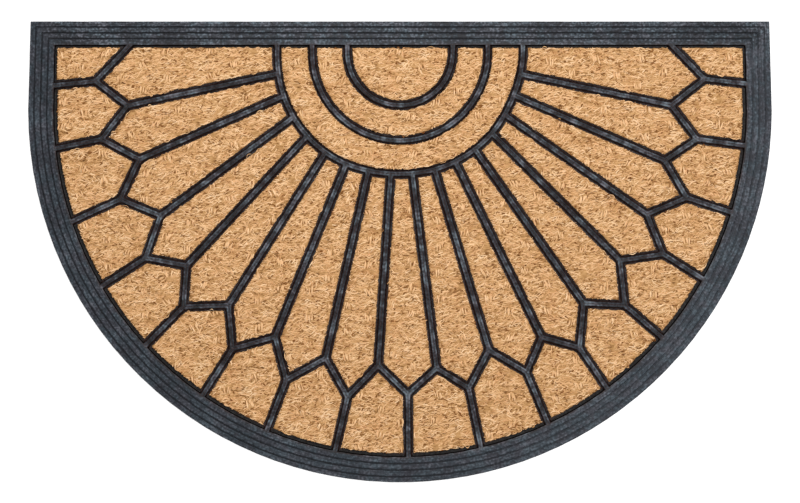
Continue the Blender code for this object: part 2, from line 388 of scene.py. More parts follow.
def new_ring(points, heights, worn):
    """New points of the skin, with one height and one dust-and-shade value for all of them or one for each.
    """
    ring = []
    heights = np.broadcast_to(heights, len(points))
    worn = np.broadcast_to(worn, len(points))
    for (x, y), height, dust_and_shade_here in zip(points, heights, worn):
        vert = skin.verts.new((x, y, height * MM))
        vert[dust_and_shade_layer] = dust_and_shade_here
        ring.append(vert)
    return ring


def bridge(outer, inner):
    """Faces between two rings with the same number of points."""
    for i in range(len(outer)):
        skin.faces.new((outer[i - 1], outer[i], inner[i], inner[i - 1]))


# Painted shade: beside the rim's wall the channel floor is marked below zero, so its colour is darkened
# there.
for outline in hollows.values():
    points, kinds = stepped(outline, RIB_STEP)
    on_wall = kinds != "rib"
    at_wall = on_wall | np.roll(on_wall, 1)
    rings = []
    for row in RIB_SECTION:
        ledge = np.where((kinds == "round") & (row.from_rib > 0), ROUND_WALL_LEDGE, 0.0)
        place = moved_in(points, (np.where(on_wall, row.from_wall, row.from_rib) + ledge) * MM)
        if row.from_wall > 0:
            place = with_soft_corners(place, CORNER_SOFTNESS)
        height = np.where(at_wall & (row.from_wall == 0), WALL_TOP, row.height)
        worn = np.where(at_wall & (row.from_wall > 0), PAINTED_SHADE_MARK, row.worn)
        rings.append(new_ring(place, height, worn))
    for outer, inner in zip(rings, rings[1:]):
        bridge(outer, inner)
    skin.faces.new(rings[-1])
bmesh.ops.remove_doubles(skin, verts=skin.verts, dist=WELD_DISTANCE)
print("faces on ribs and hollows:", len(skin.faces))

# %% [markdown]
# The free border of that skin is the wall's top, and it is one closed loop. The rim grows outwards from
# it: the loop is moved out again and again, down a stair of four slightly crowned bands with a fine
# groove under each step. This is what a sweep would make, but it shares the skin's own points.

# %% Walk the border of the skin
def place_of(edge):
    first = edge.verts[0].co
    return (round(first.x, 6), round(first.y, 6))


border = {edge for edge in skin.edges if len(edge.link_faces) == 1}
start = min(border, key=place_of)
loop = [start.verts[0], start.verts[1]]
used = {start}
while loop[-1] is not loop[0]:
    edge = next(edge for edge in loop[-1].link_edges if edge in border and edge not in used)
    used.add(edge)
    loop.append(edge.other_vert(loop[-1]))
loop.pop()
if area_of(np.array([vert.co.xy for vert in loop])) < 0:
    loop.reverse()
print("points on the border:", len(loop), "all in one loop:", len(used) == len(border))

# %% The rim's stair of bands
BAND_ENDS = {
    "straight": (0.0, 6.4, 12.4, 18.1, STRAIGHT_RIM_WIDTH / MM),
    "round": (0.0, 6.3, 13.0, 19.5, RIM_WIDTH / MM),
}
EDGE_HEIGHT = 2.6
STEP_RISE = 0.7
band_rise = (WALL_TOP - EDGE_HEIGHT - STEP_RISE * 3) / 4


def across_band(band, share, shift=0.0):
    """A place in a band, in mm from the rim's edge: first on the straight side, then on the round one."""
    return tuple(ends[band] + (ends[band + 1] - ends[band]) * share + shift for ends in BAND_ENDS.values())


RimRow = namedtuple("RimRow", "inwards height worn sunk", defaults=(0.0,))
rim_section = []
# Painted shade: each row's third number is low in the grooves, at the foot of each band and along its middle
# crease, which paints shade there over the dust.
for band in (3, 2, 1, 0):
    low = EDGE_HEIGHT + band * (band_rise + STEP_RISE)
    high = low + band_rise
    if band < 3:
        rim_section += [
            RimRow(across_band(band, 1.0, -0.05), high + 0.05, 0.10),
            RimRow(across_band(band, 1.0, -0.25), high, 0.0, 1.0),
            RimRow(across_band(band, 1.0, -0.85), high, 0.0, 1.0),
            RimRow(across_band(band, 1.0, -1.15), high - 0.45, 0.05),
            RimRow(across_band(band, 1.0, -1.40), high - 0.10, 0.52),
        ]
    rim_section += [
        RimRow(across_band(band, 1.0, -2.1), high - 0.06, 0.84),
        RimRow(across_band(band, 0.62), high * 0.62 + low * 0.38 + 0.07, 0.95),
        RimRow(across_band(band, 0.45), high * 0.45 + low * 0.55 + 0.02, 0.68),
        RimRow(across_band(band, 0.30), high * 0.30 + low * 0.70 + 0.10, 0.95),
        RimRow(across_band(band, 0.0, 0.75), low + 0.04, 0.88),
        RimRow(across_band(band, 0.0, 0.30), low - 0.12, 0.62),
        RimRow(across_band(band, 0.0, 0.08), low - 0.42, 0.35),
    ]
rim_section += [RimRow((0.0, 0.0), 1.4, 0.2), RimRow((0.0, 0.0), 0.0, 0.0)]
print("rows down the rim:", len(rim_section))

# %% [markdown]
# Towards the right the rim's grooves all but vanish, so the round rim's grooves grow shallower there.
# The grooves are also painted paler: a little along the whole round rim, and more towards the right on
# both rims, which is painted light falling into them from the right. Two more numbers ride on the
# skin's points for the finish: "smeared" is 0 on ribs and hollows, 1 along the straight rim and 2 along
# the round one, and "rim_run" is the place along the rim, for streaks that follow it.

# %% Grow the rim from the border
GROOVE_DEPTH = 1.9
ROUND_GROOVE_DEPTH = 1.1
SILT_DEPTH = 0.65
RIGHTWARD_START = -0.02
RIGHTWARD_REACH = 0.22
ROUND_GROOVE_PALENESS = 0.12
RIGHT_GROOVE_LIGHT = 0.33
STRAIGHT_GROOVE_LIGHT = 0.20
STRAIGHT_LIGHT_START = 0.10
STRAIGHT_LIGHT_REACH = 0.24
RUN_RADIUS = 25

field_line = np.array([vert.co.xy for vert in loop])
on_top = np.abs(field_line[:, 1] - FIELD_TOP_Y) < 1e-5
along_top = on_top & np.roll(on_top, -1)
line_depth = np.where(along_top, STRAIGHT_RIM_WIDTH, RIM_WIDTH) / MM
edge_lengths = np.linalg.norm(np.roll(field_line, -1, axis=0) - field_line, axis=1)
turn = np.concatenate(([0.0], np.cumsum(edge_lengths)[:-1])) / edge_lengths.sum() * math.tau


def note_run(ring, inwards, smeared):
    """Where each point lies along the rim, as a place on a big circle so that the ends meet."""
    for vert, angle, share in zip(ring, turn, smeared):
        vert[smear_layer] = share
        vert[run_layer] = (RUN_RADIUS * math.cos(angle), RUN_RADIUS * math.sin(angle), inwards)


# Painted light: the grooves are painted paler towards the right, for the light from the right that falls
# into them.
rightward = np.clip((field_line[:, 0] - RIGHTWARD_START) / RIGHTWARD_REACH, 0, 1)
groove_depth = np.where(along_top, GROOVE_DEPTH, ROUND_GROOVE_DEPTH - SILT_DEPTH * rightward)
straight_rightward = np.clip((field_line[:, 0] - STRAIGHT_LIGHT_START) / STRAIGHT_LIGHT_REACH, 0, 1)
paler_grooves = np.where(along_top, STRAIGHT_GROOVE_LIGHT * straight_rightward, ROUND_GROOVE_PALENESS + RIGHT_GROOVE_LIGHT * rightward)
smeared = np.where(along_top, 1.0, 2.0)
note_run(loop, RIM_WIDTH / MM, smeared * 0)
inner = loop
for row in rim_section:
    inwards = np.where(along_top, *row.inwards)
    worn = np.maximum(row.worn, paler_grooves)
    height = row.height - row.sunk * groove_depth
    ring = new_ring(moved_in(field_line, (inwards - line_depth) * MM), height, worn)
    note_run(ring, row.inwards[1], smeared)
    for i in range(len(ring)):
        skin.faces.new((ring[i - 1], ring[i], inner[i], inner[i - 1]))
    inner = ring
skin.faces.new(inner[::-1])
print("faces in all:", len(skin.faces))

# %% [markdown]
# A moulding is never quite true: its lines waver by about a tenth of a millimetre. A smooth noise moves
# every point above the floor a little, so highlights along the rim don't look ruled. The noise is given
# a seed, because Blender's vector noise is otherwise a new one in each run.

# %% Make the tray a piece
WAVER = 0.10 * MM
WAVER_SEED = 3
SLOW_WAVER = 70
QUICK_WAVER = 260
ABOVE_FLOOR = 0.0005
SHARP_EDGE = 50
noise.seed_set(WAVER_SEED)
for vert in skin.verts:
    if vert.co.z > ABOVE_FLOOR:
        push = noise.noise_vector(vert.co * SLOW_WAVER) * WAVER
        push += noise.noise_vector(vert.co * QUICK_WAVER) * WAVER * 0.4
        vert.co += Vector((push.x, push.y, push.z * 0.5))
bmesh.ops.recalc_face_normals(skin, faces=skin.faces)
tray_mesh = bpy.data.meshes.new("tray")
skin.to_mesh(tray_mesh)
skin.free()
tray_mesh.shade_smooth()
tray_mesh.set_sharp_from_angle(angle=math.radians(SHARP_EDGE))
tray = bpy.data.objects.new("tray", tray_mesh)
bpy.context.scene.collection.objects.link(tray)
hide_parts("rubber_tray")
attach(tray, "root")
print("tray triangles:", sum(len(face.vertices) - 2 for face in tray_mesh.polygons))

# %% [markdown]
# ## The rubber's finish
# The rubber is a dull charcoal with a blue-grey bloom of dust on whatever is raised: the bands, and
# the two beads of each rib. The ribs' flanks are painted nearly black with a touch of brown from the
# coir, and the rim's grooves nearly black with a touch of blue; that dark is bare rubber and painted
# shade. Small helpers keep the node trees short: add() makes a node and sets or links its inputs, and
# ramp() makes a colour ramp.

# %% Helpers for finishes
def new_finish(name):
    finish = bpy.data.materials.new(name)
    finish.use_nodes = True
    tree = finish.node_tree
    return finish, tree, tree.nodes["Principled BSDF"]


def add(tree, kind, inputs=(), **settings):
    """A new node with its settings, and its inputs linked or set by name or number."""
    node = tree.nodes.new(f"ShaderNode{kind}")
    for key, value in settings.items():
        setattr(node, key, value)
    for key, value in dict(inputs).items():
        if isinstance(value, bpy.types.NodeSocket):
            tree.links.new(value, node.inputs[key])
        else:
            node.inputs[key].default_value = value
    return node


def ramp(tree, source, stops):
    """A colour ramp with these (place, colour) stops, fed by a value."""
    node = add(tree, "ValToRGB", {0: source})
    elements = node.color_ramp.elements
    while len(elements) < len(stops):
        elements.new(0.5)
    for element, (place, colour) in zip(elements, stops):
        element.position = place
        element.color = (*colour, 1.0)
    return node.outputs[0]


def math_of(tree, operation, first, second):
    return add(tree, "Math", {0: first, 1: second}, operation=operation).outputs[0]


print("helpers for finishes are ready")

# %% [markdown]
# Four noises make the dust: a fine grain, blots, broad clouds, and smears that run along the rim. The
# ribs get a calmer grain, and the rim smears in place of blots. On the round rim the dust is half
# evened out. Across the mat the bloom grows a little towards the right, which is painted light from
# the right. Noise is worked out from the place on the mat, so it needs no picture wrapped round the
# shape.

# %% Where dust lies on the rubber
rubber, tree, shader = new_finish("black_rubber_dust_and_shade")
place = add(tree, "TexCoord").outputs["Object"]
worn = add(tree, "Attribute", attribute_name="worn").outputs["Fac"]
smeared = add(tree, "Attribute", attribute_name="smeared").outputs["Fac"]
rim_run = add(tree, "Attribute", attribute_name="rim_run").outputs["Vector"]
grain = add(tree, "TexNoise", {"Vector": place, "Scale": 430.0, "Detail": 2.0, "Roughness": 0.5}).outputs[0]
blots = add(tree, "TexNoise", {"Vector": place, "Scale": 105.0, "Detail": 2.0, "Roughness": 0.5}).outputs[0]
clouds = add(tree, "TexNoise", {"Vector": place, "Scale": 28.0, "Detail": 2.0}).outputs[0]
smears = add(tree, "TexNoise", {"Vector": rim_run, "Scale": 0.8, "Detail": 2.0, "Roughness": 0.5}).outputs[0]
calm_smears = add(tree, "MapRange", {0: smears, 1: 0.0, 2: 1.0, 3: 0.27, 4: 0.73}).outputs[0]
close = add(tree, "Mix", {0: smeared, 2: blots, 3: calm_smears}, data_type="FLOAT").outputs[0]
calm_grain = add(tree, "MapRange", {0: grain, 1: 0.0, 2: 1.0, 3: 0.215, 4: 0.815}).outputs[0]
specks = add(tree, "Mix", {0: smeared, 2: calm_grain, 3: grain}, data_type="FLOAT").outputs[0]
dust = math_of(tree, "ADD", math_of(tree, "MULTIPLY", specks, 0.42), math_of(tree, "MULTIPLY", close, 0.40))
dust = math_of(tree, "ADD", dust, math_of(tree, "MULTIPLY", clouds, 0.18))
evened = add(tree, "MapRange", {0: smeared, 1: 1.0, 2: 2.0, 3: 0.0, 4: 0.5}).outputs[0]
dust = add(tree, "Mix", {0: evened, 2: dust, 3: 0.529}, data_type="FLOAT").outputs[0]
sideways = add(tree, "SeparateXYZ", {0: place}).outputs[0]
# Painted light: the bloom grows a little towards the right of the mat, where the light comes from.
painted_light_from_right = add(tree, "MapRange", {0: sideways, 1: -0.375, 2: 0.375, 3: -0.003, 4: 0.009}).outputs[0]
dust = math_of(tree, "ADD", dust, painted_light_from_right)
print("nodes for the dust:", len(tree.nodes))

# %% The rubber's colours
bloom = ramp(tree, dust, (
    (0.38, (0.0050, 0.0046, 0.0056)),
    (0.46, (0.0185, 0.0200, 0.0240)),
    (0.52, (0.0490, 0.0545, 0.0635)),
    (0.61, (0.1960, 0.2130, 0.2330)),
))
brown_black = ramp(tree, grain, ((0.35, (0.0185, 0.0074, 0.0054)), (0.70, (0.0720, 0.0410, 0.0340))))
blue_black = ramp(tree, grain, ((0.35, (0.0060, 0.0064, 0.0085)), (0.70, (0.0240, 0.0255, 0.0315))))
bare = add(tree, "Mix", {0: smeared, 6: brown_black, 7: blue_black}, data_type="RGBA").outputs[2]
colour = add(tree, "Mix", {0: worn, 6: bare, 7: bloom}, data_type="RGBA").outputs[2]
# Painted shade: below zero, beside the rim's wall, the colour is darkened to paint the deep shade of the
# channel.
painted_channel_shade = add(tree, "MapRange", {0: worn, 1: PAINTED_SHADE_MARK, 2: 0.0, 3: 0.15, 4: 1.0}).outputs[0]
colour = add(tree, "Mix", {0: 1.0, 6: colour, 7: painted_channel_shade},
             data_type="RGBA", blend_type="MULTIPLY").outputs[2]
casts = add(tree, "TexNoise", {"Vector": place, "Scale": 110.0, "Detail": 2.0}).outputs[0]
cast = ramp(tree, casts, ((0.40, (0.87, 0.84, 0.90)), (0.60, (0.76, 0.88, 0.94))))
colour = add(tree, "Mix", {0: 1.0, 6: colour, 7: cast}, data_type="RGBA", blend_type="MULTIPLY").outputs[2]
tree.links.new(colour, shader.inputs["Base Color"])
print("nodes for dust and colours:", len(tree.nodes))

# %% The rubber's gloss and pits
dullness = add(tree, "MapRange", {0: grain, 1: 0.3, 2: 0.7, 3: 0.40, 4: 0.66}).outputs[0]
tree.links.new(dullness, shader.inputs["Roughness"])
pitted = add(tree, "Bump", {"Height": dust, "Strength": 0.55, "Distance": 0.0005}).outputs[0]
tree.links.new(pitted, shader.inputs["Normal"])
shader.inputs["Specular IOR Level"].default_value = 0.18
tray_mesh.materials.append(rubber)
print("rubber nodes:", len(tree.nodes))

# %% [markdown]
# ## The weave of the coir
# The matting is a plain weave of very thick yarn. Loose bundles of weft run from side to side, about
# 13 mm apart; short bright warp tufts cross over them on a staggered grid, 22.6 mm from column to
# column. A bundle is squeezed where a tuft binds it and swells between tufts. One function gives that
# height, and both the panel's surface and its fibres follow it.

# %% The weave as a height
COLUMN_PITCH = 22.6
ROW_PITCH = 13.2
TUFT_HALF = (4.6, 5.0)
BUNDLE_RELIEF = 0.50
MEAN_RELIEF = 0.22
PINCH = 0.22
SWELL = 0.18
TUFT_RELIEF = 0.50


def weave_place(x, y, phase):
    """For points in mm: place beside the nearest crossing, and whether a tuft is on top there."""
    wave = 1.1 * np.sin(y / 9.0 + phase[2]) + 0.8 * np.sin(x / 13.0 + y / 21.0 + phase[3])
    column = (x + wave + phase[0]) / COLUMN_PITCH
    row = (y + 0.9 * np.sin(x / 11.0 + phase[3]) + phase[1]) / ROW_PITCH
    over = (np.round(column) + np.round(row)) % 2 == 0
    return (column - np.round(column)) * COLUMN_PITCH, (row - np.round(row)) * ROW_PITCH, over


def weave_height(x, y, phase):
    """Height of the weave's surface in mm, about 0 in its middle range."""
    u, v, over = weave_place(x, y, phase)
    bundle = BUNDLE_RELIEF * np.cos(math.pi * v / ROW_PITCH) - MEAN_RELIEF
    swell = np.where(over, -PINCH * np.exp(-(u / 7.0) ** 2), SWELL * np.exp(-(u / 8.0) ** 2))
    tuft = np.where(over, TUFT_RELIEF * np.exp(-(u / 4.2) ** 4 - (v / 5.0) ** 4), 0.0)
    return bundle + swell + tuft


ruler = np.linspace(-30, 30, 121)
sample = weave_height(ruler[None, :], ruler[:, None], (0, 0, 0, 0))
print("weave relief in mm:", round(float(np.ptp(sample)), 2))

# %% [markdown]
# ## The coir panels
# Each panel is a slab cut from the matting, so its edge is a little ragged. Its top is a net of small
# triangles that follows the weave, made by a Delaunay fill of scattered points inside the outline; a
# flat bottom and steep sides close it. A grid would show its rows, and a net doesn't. The panel replaces
# the plain solid in the same hollow. The gaps say how far its edge stays from the middle of a rib or
# from the wall. They are a little smaller in the outer half ring, because a sheet's area has to be at
# least three tenths of the rectangle that it is cut from.

# %% Helpers for the panels
PANEL_GAPS = {"rib": 5.3 * MM, "round": 5.0 * MM, "straight": 3.4 * MM}
OUTER_BAND_GAPS = {"rib": 4.65 * MM, "straight": 3.4 * MM}
PANEL_BOTTOM = 2.8
PANEL_MIDDLE = 8.3
EDGE_STEP = 1.2
SLOW_FRAY = 0.50
QUICK_FRAY = 0.60
NET_STEP = 1.7
NET_JITTER = 0.35
NET_MARGIN = 0.8
rng = np.random.default_rng(20241)


def distance_outside(x, y, outline):
    """Signed distance in mm from points to an outline's edge: positive outside."""
    start = outline[None, :, :]
    span = np.roll(outline, -1, axis=0)[None, :, :] - start
    to_point = np.stack((x, y), axis=1)[:, None, :] - start
    share = np.clip((to_point * span).sum(2) / (span ** 2).sum(2), 0, 1)
    nearest = np.sqrt(((to_point - span * share[..., None]) ** 2).sum(2).min(1))
    above = (start[..., 1] > y[:, None]) != ((start + span)[..., 1] > y[:, None])
    rise = np.where(span[..., 1] == 0, 1e-12, span[..., 1])
    crossing_x = start[..., 0] + (y[:, None] - start[..., 1]) * span[..., 0] / rise
    inside = (above & (x[:, None] < crossing_x)).sum(1) % 2 == 1
    return np.where(inside, -nearest, nearest)


def ragged(outline):
    """The outline in short steps, each pushed in or out a little, as cut matting frays."""
    points, _ = stepped([(point, "cut") for point in outline], EDGE_STEP)
    away = normals_of(points)
    slow = np.array([noise.noise((p[0] / 8, p[1] / 8, 3.0)) for p in points])
    quick = np.array([noise.noise((p[0] / 2.2, p[1] / 2.2, 9.0)) for p in points])
    notches = np.maximum(slow - 0.32, 0.0) * 1.2
    return points + away * (slow * SLOW_FRAY + quick * QUICK_FRAY + notches + 0.1)[:, None]


def net_points(outline):
    """Scattered points well inside the outline."""
    low, high = outline.min(0), outline.max(0)
    rows = np.arange(low[1], high[1], NET_STEP * 0.87)
    columns = np.arange(low[0], high[0], NET_STEP)
    x, y = np.meshgrid(columns, rows)
    x = x + (np.arange(len(rows)) % 2)[:, None] * NET_STEP / 2
    x, y = (grid.ravel() + rng.uniform(-NET_JITTER, NET_JITTER, grid.size) for grid in (x, y))
    keep = distance_outside(x, y, outline) < -NET_MARGIN
    return np.stack((x[keep], y[keep]), axis=1)


def filled_mesh(name, verts, faces):
    """A smooth mesh from points and faces, with any faulty face left out."""
    mesh = bpy.data.meshes.new(name)
    mesh.from_pydata(verts, [], faces)
    mesh.validate()
    mesh.shade_smooth()
    return mesh


print("panels stand", round(PANEL_MIDDLE - PANEL_BOTTOM, 1), "mm thick on average")

# %% Shape one coir panel
TOP_ROUGHNESS = 0.14
EDGE_DROP = 0.7
SHOULDER_HEIGHT = 5.5
SHOULDER_IN = 0.12


def panel_mesh(name, outline, phase):
    """A closed slab whose top follows the weave."""
    edge = ragged(outline)
    inside = net_points(edge)
    flat = [Vector(point) for point in np.concatenate((edge, inside))]
    count = len(edge)
    verts, _, faces, *_ = geometry.delaunay_2d_cdt(flat, [], [list(range(count))], 1, 1e-4)
    place = np.array([tuple(vert) for vert in verts])
    top = PANEL_MIDDLE + weave_height(place[:, 0], place[:, 1], phase)
    top += rng.normal(0, TOP_ROUGHNESS, len(place))
    top[:count] -= EDGE_DROP
    shoulder = moved_in(edge, np.full(count, -SHOULDER_IN))
    levels = [np.column_stack((place, top))]
    levels.append(np.column_stack((shoulder, np.full(count, SHOULDER_HEIGHT))))
    levels.append(np.column_stack((edge, np.full(count, PANEL_BOTTOM))))
    solid = [tuple(point * MM) for point in np.concatenate(levels)]
    faces = [tuple(face) for face in faces]
    first = (0, len(place), len(place) + count)
    for upper, lower in zip(first, first[1:]):
        for i in range(count):
            after = (i + 1) % count
            faces.append((upper + i, lower + i, lower + after, upper + after))
    faces.append(tuple(first[2] + i for i in range(count))[::-1])
    return filled_mesh(name, solid, faces)


print("a panel's edge starts", EDGE_DROP, "mm below its top")

# %% Build the coir panels
Panel = namedtuple("Panel", "piece outline phase area")
panels = {}
for name, corners in hollows.items():
    points, kinds = stepped(corners, 1.0)
    gaps = OUTER_BAND_GAPS if name == "band_outer" else PANEL_GAPS
    outline = moved_in(points, np.array([gaps[kind] for kind in kinds])) / MM
    phase = rng.uniform(0, 40, 4)
    mesh = panel_mesh(f"panel_{name}", outline, phase)
    piece = bpy.data.objects.new(f"panel_{name}", mesh)
    bpy.context.scene.collection.objects.link(piece)
    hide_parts(f"coir_{name}")
    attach(piece, "root")
    panels[name] = Panel(piece, outline, phase, area_of(outline))
total = sum(len(face.vertices) - 2 for panel in panels.values() for face in panel.piece.data.polygons)
print("panels:", len(panels), "triangles:", total)
print("coir area in square cm:", round(sum(panel.area for panel in panels.values()) / 100))

# %% [markdown]
# ## The fibres
# What the eye sees on a coir mat is not its slab but the fibres that lie on it: short, stiff, curved and
# of many shades, most of them along the weft, some standing across it in the tufts. They could be hair,
# but hair is lost in an export, so each fibre is a narrow strip of four faces that bows upwards and
# dives back in at both ends. All the fibres of a panel are one mesh, and each remembers its shade. The
# points of thousands of strips are worked out at once, with arrays, which is far quicker than one by one.

# %% Points of the strips
STATIONS = np.array([-0.5, -0.25, 0.0, 0.25, 0.5])
STRIP_WIDTHS = np.array([0.35, 0.95, 1.0, 0.9, 0.3])
STRIP_LIFTS = np.array([-0.75, 0.0, 0.28, 0.0, -0.75])
POINTS_ON_STRIP = len(STATIONS) * 2


def strips(fibres, phase, outline):
    """Points of each fibre's strip: fibres x 5 stations x 2 sides x 3, in mm."""
    x, y, angle, length, width, bow, lift, arch, roll, overhang = fibres.T
    fit = np.full(len(x), 0.12)
    for share in (0.3, 0.5, 0.7, 0.85, 1.0):
        ends = [distance_outside(x + side * share * length / 2 * np.cos(angle),
                                 y + side * share * length / 2 * np.sin(angle), outline) for side in (-1, 1)]
        fit = np.where(np.maximum(*ends) <= overhang, share, fit)
    length = length * fit
    along = STATIONS[None, :] * length[:, None]
    aside = (bow * fit)[:, None] * (1 - 4 * STATIONS[None, :] ** 2)
    px = x[:, None] + along * np.cos(angle)[:, None] - aside * np.sin(angle)[:, None]
    py = y[:, None] + along * np.sin(angle)[:, None] + aside * np.cos(angle)[:, None]
    pz = PANEL_MIDDLE + weave_height(px, py, phase) + lift[:, None] + STRIP_LIFTS * arch[:, None]
    half = width[:, None] * STRIP_WIDTHS / 2
    tilt = roll[:, None]
    side = np.stack((
        -np.sin(angle)[:, None] * half * np.cos(tilt),
        np.cos(angle)[:, None] * half * np.cos(tilt),
        half * np.sin(tilt),
    ), axis=2)
    middle = np.stack((px, py, pz), axis=2)
    return np.stack((middle - side, middle + side), axis=2), length


print("points on a strip:", POINTS_ON_STRIP)

# %% One mesh from many strips
FACES_ON_STRIP = len(STATIONS) - 1


def strip_mesh(name, corners, length, width, shade, hue):
    """One mesh from many strips, with each point's shade, hue and place on its fibre."""
    count = len(corners)
    mesh = bpy.data.meshes.new(name)
    mesh.vertices.add(count * POINTS_ON_STRIP)
    mesh.vertices.foreach_set("co", (corners * MM).astype(np.float32).ravel())
    first = (np.arange(count) * POINTS_ON_STRIP)[:, None, None]
    base = first + (np.arange(FACES_ON_STRIP) * 2)[None, :, None]
    quads = (base + np.array([0, 2, 3, 1])).reshape(-1)
    mesh.loops.add(len(quads))
    mesh.loops.foreach_set("vertex_index", quads.astype(np.int32))
    mesh.polygons.add(count * FACES_ON_STRIP)
    mesh.polygons.foreach_set("loop_start", np.arange(0, len(quads), 4, dtype=np.int32))
    mesh.update(calc_edges=True)
    mesh.shade_smooth()
    for key, values in (("shade", shade), ("hue", hue)):
        layer = mesh.attributes.new(key, "FLOAT", "POINT")
        layer.data.foreach_set("value", np.repeat(values, POINTS_ON_STRIP).astype(np.float32))
    run = np.repeat((STATIONS[None, :] * length[:, None])[..., None], 2, axis=2)
    edge = np.broadcast_to(np.array([-0.5, 0.5]), run.shape) * width[:, None, None]
    seed = np.broadcast_to((np.arange(count) * 1.37)[:, None, None], run.shape)
    layer = mesh.attributes.new("strand", "FLOAT_VECTOR", "POINT")
    layer.data.foreach_set("vector", np.stack((run, edge, seed), axis=3).astype(np.float32).ravel())
    return mesh


print("faces on a strip:", FACES_ON_STRIP)

# %% [markdown]
# Weft fibres are scattered evenly over the panel and lean with their bundle, which narrows at the tufts.
# Fibres that lie deep, or in the hollows of the weave, are painted darker as painted shade, and some
# short wide ones are painted nearly black, as the shade in the gaps between yarns. A few stray ends
# reach out over the rubber.

# %% Scatter weft fibres
WEFT_PER_MM2 = 0.34
YARN_TWIST = 0.16
DARK_SHARE = 0.11
STRAY_SHARE = 0.003
WEAVE_SHADE = 0.37


# Painted shade: deeper fibres and fibres in the weave's hollows get a darker shade, and a share of short
# wide strips is painted nearly black for the shade in the gaps between yarns.
def weft_fibres(panel):
    """A row for each weft fibre: the ten numbers that strips() reads, then its shade and hue."""
    low, high = panel.outline.min(0), panel.outline.max(0)
    pitch = WEFT_PER_MM2 ** -0.5
    x, y = np.meshgrid(np.arange(low[0], high[0], pitch), np.arange(low[1], high[1], pitch))
    x, y = (grid.ravel() + rng.uniform(0, pitch, grid.size) for grid in (x, y))
    u, v, over = weave_place(x, y, panel.phase)
    in_tuft = over & (np.abs(u) < TUFT_HALF[0] * 0.8) & (np.abs(v) < TUFT_HALF[1] * 0.8)
    keep = (distance_outside(x, y, panel.outline) < 0.1) & ~in_tuft
    x, y, u, v, over = x[keep], y[keep], u[keep], v[keep], over[keep]
    count = len(x)
    from_float = np.where(over, u - np.sign(u) * COLUMN_PITCH, u)
    lean = YARN_TWIST - 0.020 * v * from_float / 7.0
    patch = np.array([noise.noise((a / 16, b / 13, 5.0)) for a, b in zip(x, y)])
    fine = np.array([noise.noise((a / 7, b / 4, 8.0)) for a, b in zip(x, y)])
    dark = rng.random(count) < DARK_SHARE + 0.20 * np.maximum(fine, 0)
    angle = lean + rng.normal(0, 0.44, count)
    length = np.where(dark, rng.uniform(2.0, 5.0, count), rng.gamma(5.0, 0.95, count) + 2.6)
    width = np.where(dark, rng.uniform(0.6, 1.3, count), rng.uniform(0.50, 1.05, count))
    bow = rng.normal(0, 0.85, count) + np.sign(v) * 0.3
    lift = rng.uniform(-0.25, 0.45, count) + np.where(dark, 0.25, 0.0)
    arch = rng.uniform(0.5, 1.2, count)
    roll = rng.normal(0, 0.38, count)
    stray = rng.random(count) < STRAY_SHARE
    overhang = np.where(stray, rng.uniform(0.8, 2.6, count), rng.uniform(-0.6, 0.5, count))
    shade = 0.60 + 0.18 * (lift - 0.1) + rng.normal(0, 0.11, count) - 0.20 * fine - 0.17 * patch
    shade += WEAVE_SHADE * weave_height(x, y, panel.phase)
    shade = np.where(dark, rng.normal(0.06, 0.12, count), shade)
    hue = 0.45 + 0.45 * patch + rng.normal(0, 0.18, count)
    return np.column_stack((x, y, angle, length, width, bow, lift, arch, roll, overhang, shade, hue))


print("weft fibres on 1 square cm:", round(WEFT_PER_MM2 * 100))

# %% [markdown]
# A tuft is three little sheaves of paler, thicker fibres laid across the weft, with nearly black strips in
# the slits between and beside them, which paint the shade there. To find the tufts' hearts, a fine grid
# is laid over the panel and the points that the weave calls the middle of a tuft are kept, one for each
# tuft. Some tufts have come away, as on the mat.

# %% Set the tufts
TUFT_SHEAVES = (-2.7, 0.0, 2.7)
TUFT_SLITS = (-3.9, -1.35, 1.35, 3.9)
SHEAF_FIBRES = 4
SEARCH_MARGIN = 20
LEAST_TUFT_SPACING = 6
WORN_AWAY_SHARE = 0.12


